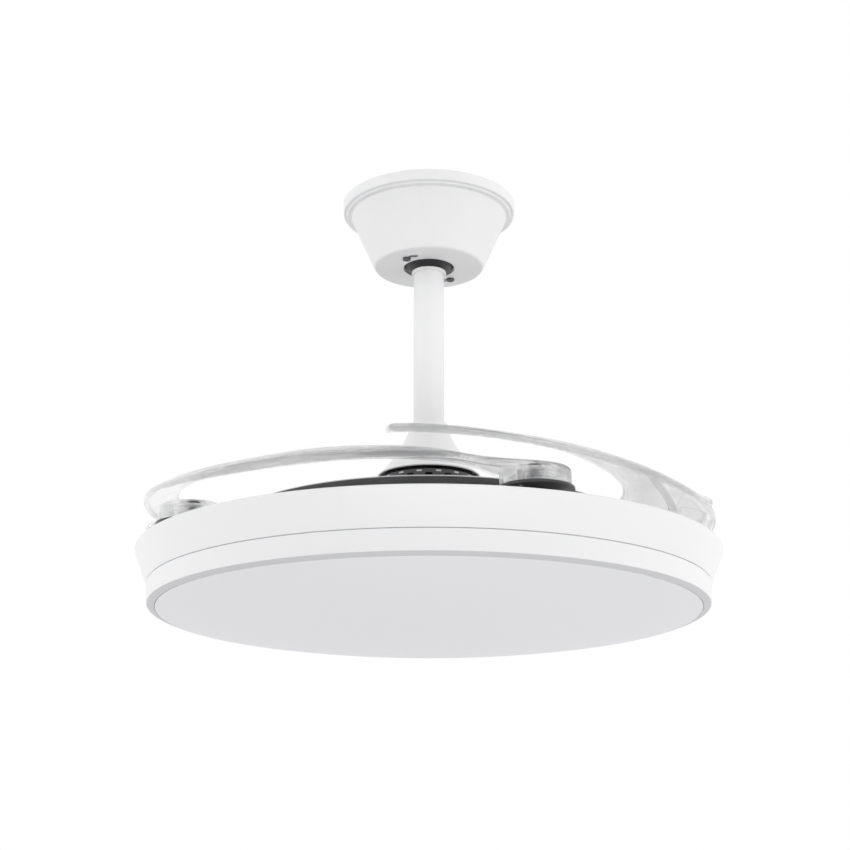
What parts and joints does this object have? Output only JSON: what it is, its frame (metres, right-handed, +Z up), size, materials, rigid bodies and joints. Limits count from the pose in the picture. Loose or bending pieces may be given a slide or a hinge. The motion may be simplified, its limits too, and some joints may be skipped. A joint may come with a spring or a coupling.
{
  "type": "retractable blade ceiling fan",
  "caption": "Ceiling fan on a short downrod with a round disc lamp below it and clear curved blades that fold in over the lamp and swing out when it spins.",
  "frame": {"origin": "centre of the bracket's face on the ceiling", "axes": "+Z up out of the ceiling face, so the fan hangs along -Z; +X to the right and +Y away from the viewer as pictured"},
  "size_m": [0.4999, 0.5, 0.4024],
  "materials": {
    "white_paint": "satin white powder coat",
    "black_paint": "matt black powder coat",
    "clear_blade": "clear moulded acrylic",
    "opal": "opal acrylic, satin",
    "zinc_steel": "zinc-plated sheet steel",
    "steel": "bright turned steel",
    "dark_steel": "blackened steel",
    "white_plastic": "moulded white plastic",
    "black_plastic": "moulded black nylon",
    "nylon": "natural nylon",
    "copper_wire": "enamelled copper winding",
    "magnet": "sintered magnet",
    "rubber": "black rubber sleeve",
    "lens": "moulded lens over an emitter"
  },
  "bodies": {
    "ceiling_mount": {"hanger_bracket": "zinc_steel", "canopy": "white_paint", "canopy_screws": "steel", "receiver_box": "white_plastic", "terminal_block": "nylon"},
    "ball_liner": {"ball_liner": "nylon"},
    "hanger": {"hanger_ball": "black_plastic", "ball_cross_pin": "steel", "rod_ring": "white_plastic", "downrod": "white_paint", "bell_collar": "white_paint", "yoke": "black_paint", "yoke_pin": "steel", "yoke_clip": "steel", "yoke_set_screws": "dark_steel", "motor_shaft": "steel", "stator_core": "zinc_steel", "stator_coils": "copper_wire", "shaft_nuts": "zinc_steel", "light_bracket": "zinc_steel", "bracket_screws": "steel", "upper_ring": "white_paint", "led_standoffs": "zinc_steel", "standoff_screws": "steel", "led_tray": "white_paint", "led_emitters": "lens", "led_driver": "white_plastic", "driver_screws": "steel", "lower_ring": "white_paint", "diffuser": "opal"},
    "rotor": {"motor_top_cover": "black_paint", "motor_bottom_cover": "black_paint", "rotor_magnets": "magnet", "upper_bearing": "steel", "lower_bearing": "steel", "cover_screws": "steel", "rotor_hub": "black_paint", "hub_screws": "steel", "pivot_posts": "dark_steel", "pivot_screws": "dark_steel", "return_springs": "steel", "stop_pegs": "rubber"},
    "blade_1": {"blade_1": "clear_blade", "blade_bush_1": "nylon"},
    "blade_2": {"blade_2": "clear_blade", "blade_bush_2": "nylon"},
    "blade_3": {"blade_3": "clear_blade", "blade_bush_3": "nylon"},
    "blade_4": {"blade_4": "clear_blade", "blade_bush_4": "nylon"}
  },
  "joints": [
    {"name": "hanger_tilt_x", "type": "hinge", "parent": "ceiling_mount", "child": "ball_liner", "pos_m": [0, 0, -0.04], "axis": [1, 0, 0], "range_deg": [-10, 10]},
    {"name": "hanger_tilt_y", "type": "hinge", "parent": "ball_liner", "child": "hanger", "pos_m": [0, 0, -0.04], "axis": [0, 1, 0], "range_deg": [-10, 10]},
    {"name": "rotor_spin", "type": "hinge", "parent": "hanger", "child": "rotor", "pos_m": [0, 0, -0.295], "axis": [0, 0, -1], "continuous": true},
    {"name": "blade_1_swing", "type": "hinge", "parent": "rotor", "child": "blade_1", "pos_m": [0.07998, -0.19309, -0.314], "axis": [0, 0, 1], "range_deg": [0, 95], "stiffness_Nm_per_rad": 0.03, "springref_deg": -20.05},
    {"name": "blade_2_swing", "type": "hinge", "parent": "rotor", "child": "blade_2", "pos_m": [0.19309, 0.07998, -0.314], "axis": [0, 0, 1], "range_deg": [0, 95], "stiffness_Nm_per_rad": 0.03, "springref_deg": -20.05},
    {"name": "blade_3_swing", "type": "hinge", "parent": "rotor", "child": "blade_3", "pos_m": [-0.07998, 0.19309, -0.314], "axis": [0, 0, 1], "range_deg": [0, 95], "stiffness_Nm_per_rad": 0.03, "springref_deg": -20.05},
    {"name": "blade_4_swing", "type": "hinge", "parent": "rotor", "child": "blade_4", "pos_m": [-0.19309, -0.07998, -0.314], "axis": [0, 0, 1], "range_deg": [0, 95], "stiffness_Nm_per_rad": 0.03, "springref_deg": -20.05}
  ],
  "couplings": [
    {"joint": "blade_2_swing", "follows": "blade_1_swing", "ratio": 1},
    {"joint": "blade_3_swing", "follows": "blade_1_swing", "ratio": 1},
    {"joint": "blade_4_swing", "follows": "blade_1_swing", "ratio": 1}
  ]
}
